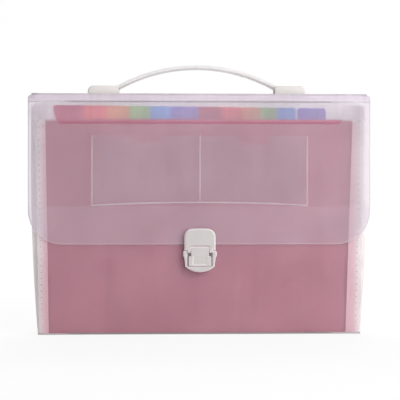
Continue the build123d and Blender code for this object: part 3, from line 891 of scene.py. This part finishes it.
def pleat_profile(number, z, side):
    """Points across one pleat at a height, from the sheet before it round the fold to the sheet behind."""
    low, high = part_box(f"gusset_pleat_{number:02d}")
    rise = (z - low.z) / (high.z - low.z)
    root = ROOT_HALF[0] + ROOT_HALF[1] * rise
    if number == 1 and side > 0:
        root -= FRONT_ROOT_IN * (1 - rise)
    front, back = low.y + PLEAT_GAP, high.y - PLEAT_GAP
    if number in (1, POCKETS):
        reach = OUTER_REACH[0] + OUTER_REACH[1] * rise
        fold = front + OUTER_FOLD_OFF if number == 1 else back - OUTER_FOLD_OFF
        half_fold = OUTER_FOLD_HALF
    else:
        phase = WAVER_BY_POCKET * number + WAVER_BY_HEIGHT * rise + side
        waver = WAVER * math.sin(phase) * rise * (1 - 0.5 * rise)
        reach = INNER_REACH[0] + INNER_REACH[1] * (1 - (1 - rise) ** 3) + waver - WAVER_ROOM
        fold = (front + back) / 2
        half_fold = INNER_FOLD_HALF
    near = root * (1 - NEAR_REACH) + reach * NEAR_REACH
    points = [
        (root, front),
        (near, front + (fold - half_fold - front) * NEAR_DEPTH),
        (reach - TIP, fold - half_fold),
        (reach - TIP_SOFT, fold - half_fold * TIP_SHARE),
        (reach, fold),
        (reach - TIP_SOFT, fold + half_fold * TIP_SHARE),
        (reach - TIP, fold + half_fold),
        (near, back - (back - fold - half_fold) * NEAR_DEPTH),
        (root, back),
    ]
    return [Vector((side * x, y, z)) for x, y in points]


def gusset(number):
    """The pair of pleats of one pocket."""
    low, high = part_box(f"gusset_pleat_{number:02d}")
    verts, faces = [], []
    for side in (-1, 1):
        start = len(verts)
        for row in range(PLEAT_ROWS + 1):
            z = low.z + (high.z - low.z) * row / PLEAT_ROWS
            verts += pleat_profile(number, z, side)
        for row in range(PLEAT_ROWS):
            for k in range(PLEAT_POINTS - 1):
                a = start + row * PLEAT_POINTS + k
                quad = (a, a + 1, a + PLEAT_POINTS + 1, a + PLEAT_POINTS)
                faces.append(quad if side > 0 else quad[::-1])
    piece = mesh_piece(f"gusset_film_{number:02d}", verts, faces, "frosted_gusset")
    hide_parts(f"gusset_pleat_{number:02d}")
    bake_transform(piece)


for number in range(1, POCKETS + 1):
    gusset(number)

# The two scored top folds

FOLD_COLUMNS = 28
FOLD_STEPS = 10
FOLD_SHEET = 0.5 * MM


def top_fold(name, node, outward):
    """The bent web of a top crease."""
    low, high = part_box(node)
    radius = high.z - low.z
    centre = Vector((0, high.y if outward < 0 else low.y, low.z))
    verts, faces = [], []
    for layer in (radius, radius - FOLD_SHEET):
        for c in range(FOLD_COLUMNS + 1):
            x = low.x + (high.x - low.x) * c / FOLD_COLUMNS
            for s in range(FOLD_STEPS + 1):
                a = math.pi / 2 * s / FOLD_STEPS
                verts.append((x, centre.y + outward * layer * math.sin(a), centre.z + layer * math.cos(a)))
    span = FOLD_STEPS + 1
    count = (FOLD_COLUMNS + 1) * span
    for c in range(FOLD_COLUMNS):
        for s in range(FOLD_STEPS):
            a = c * span + s
            outer = (a, a + 1, a + span + 1, a + span)
            faces += [outer, tuple(count + v for v in reversed(outer))]
    edge = [c * span for c in range(FOLD_COLUMNS + 1)]
    edge += [FOLD_COLUMNS * span + s for s in range(1, FOLD_STEPS + 1)]
    edge += [c * span + FOLD_STEPS for c in range(FOLD_COLUMNS - 1, -1, -1)]
    edge += list(range(FOLD_STEPS - 1, 0, -1))
    for a, b in zip(edge, edge[1:] + edge[:1]):
        faces.append((a, b, count + b, count + a))
    piece = mesh_piece(name, verts, faces, "frosted_cover", FOLD)
    facing_out(piece)
    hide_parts(node)
    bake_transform(piece)


top_fold("front_top_crease", "front_top_fold", -1)
top_fold("rear_top_crease", "rear_top_fold", 1)

# Spot welds that join the first and last pleats to the two panels. DOT_RINGS gives each ring of a dot as a
# share of its radius and of the height that it stands proud

DOTS = 33
DOT_LOW = 0.012
DOT_STEP = 0.0062
DOT_HALF = 0.1545
DOT_SPREAD = 0.0040 / 0.21
DOT_SIDES = 10
DOT_RADIUS = 0.8 * MM
DOT_PROUD = 0.06 * MM
DOT_RINGS = ((1.0, -0.05), (0.75, 1.0))


def weld_dots(name, body, outer_y, outward):
    """Both rows of dots on a panel. outward is the way that its outer face looks along Y."""
    verts, faces = [], []
    for side in (-1, 1):
        for k in range(DOTS):
            z = DOT_LOW + DOT_STEP * k
            x = side * (DOT_HALF + DOT_SPREAD * z)
            start = len(verts)
            for wide, proud in DOT_RINGS:
                r = wide * DOT_RADIUS
                y = outer_y + outward * proud * DOT_PROUD
                for s in range(DOT_SIDES):
                    a = 2 * math.pi * s / DOT_SIDES
                    verts.append((x + r * math.cos(a), y, z + r * math.sin(a)))
            for s in range(DOT_SIDES):
                t = (s + 1) % DOT_SIDES
                faces.append((start + s, start + t, start + DOT_SIDES + t, start + DOT_SIDES + s))
            faces.append(tuple(start + DOT_SIDES + s for s in range(DOT_SIDES)))
            faces.append(tuple(start + s for s in reversed(range(DOT_SIDES))))
    piece = mesh_piece(name, verts, faces, "frosted_cover", SPOT_WELD, smooth=False)
    facing_out(piece)
    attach(piece, body)


weld_dots("front_weld_dots", "front_body", PANEL_Y, -1)
weld_dots("back_weld_dots", "back_and_base", BACK_Y, 1)

# Stage: a floor that runs up into a backdrop. STAGE_GLOW is the share of plain white in what the camera sees

STAGE_GLOW = 0.86
STAGE_HALF = 3.0
STAGE_FRONT = -3.0
STAGE_TURN = 0.9
STAGE_RADIUS = 0.8
STAGE_HEIGHT = 3.4
STAGE_STEPS = 12


def stage_material():
    material = bpy.data.materials.new("studio_white")
    n = Nodes(material)
    tone = n.mix(n.noise(3.0), grey(0.86), grey(0.88))
    paper = n.add("ShaderNodeBsdfDiffuse", {"Color": tone}).outputs[0]
    white = n.add("ShaderNodeEmission", {"Color": grey(1.0), "Strength": 1.0}).outputs[0]
    path = n.add("ShaderNodeLightPath")
    seen = n.math("MAXIMUM", path.outputs["Is Camera Ray"], path.outputs["Is Glossy Ray"])
    seen = n.math("MAXIMUM", seen, path.outputs["Is Transmission Ray"])
    n.finish(n.blend_shaders(n.math("MULTIPLY", seen, STAGE_GLOW), paper, white))
    return material


def backdrop():
    line = [(STAGE_FRONT, 0.0), (STAGE_TURN, 0.0)]
    for s in range(1, STAGE_STEPS + 1):
        a = math.pi / 2 * s / STAGE_STEPS
        line.append((STAGE_TURN + STAGE_RADIUS * math.sin(a), STAGE_RADIUS * (1 - math.cos(a))))
    line.append((STAGE_TURN + STAGE_RADIUS, STAGE_HEIGHT))
    verts = [(x, y, z) for y, z in line for x in (-STAGE_HALF, STAGE_HALF)]
    faces = [(2 * k, 2 * k + 1, 2 * k + 3, 2 * k + 2) for k in range(len(line) - 1)]
    mesh = new_mesh("backdrop", verts, faces)
    mesh.materials.append(stage_material())
    for p in mesh.polygons:
        p.use_smooth = True
    piece = placed("backdrop", mesh)


backdrop()


def softbox(name, place, aim, width, height, power):
    """A soft light at a place, turned to its aim. Its power is in watts."""
    lamp = bpy.data.lights.new(name, "AREA")
    lamp.shape = "RECTANGLE"
    lamp.size = width
    lamp.size_y = height
    lamp.energy = power
    holder = placed(name, lamp)
    holder.location = place
    holder.rotation_euler = (Vector(aim) - Vector(place)).to_track_quat("-Z", "Y").to_euler()


softbox("key", (1.05, -1.15, 0.7), (0.02, 0, 0.12), 1.4, 1.4, 21.5)
softbox("fill", (-1.4, -1.2, 0.7), (0, 0, 0.12), 1.4, 1.4, 0.8)
softbox("back", (0.15, 1.2, 1.5), (0.04, 0, 0.14), 1.4, 0.9, 20.0)

# World: plain white to the camera, and dimmer as a light

world = bpy.data.worlds.new("studio")
bpy.context.scene.world = world
world.use_nodes = True
world_nodes = world.node_tree.nodes
world_links = world.node_tree.links
background = world_nodes["Background"]
background.inputs["Color"].default_value = grey(1.0)
seen_directly = world_nodes.new("ShaderNodeLightPath").outputs["Is Camera Ray"]
level = world_nodes.new("ShaderNodeMapRange")
level.inputs["To Min"].default_value = WORLD_STRENGTH
level.inputs["To Max"].default_value = 1.0
world_links.new(seen_directly, level.inputs["Value"])
world_links.new(level.outputs[0], background.inputs["Strength"])

camera = bpy.data.cameras.new("camera")
camera.lens = CAMERA_LENS
camera.sensor_width = SENSOR_WIDTH
camera_holder = placed("camera", camera)
target = Vector((0.0, flap_low.y, CAMERA_HEIGHT))
backwards = Vector((math.sin(CAMERA_TURN), -math.cos(CAMERA_TURN), 0.0))
camera_holder.location = target + backwards * CAMERA_DISTANCE
camera_holder.rotation_euler = (-backwards).to_track_quat("-Z", "Y").to_euler()
bpy.context.scene.camera = camera_holder
bpy.context.scene.view_settings.view_transform = "Standard"
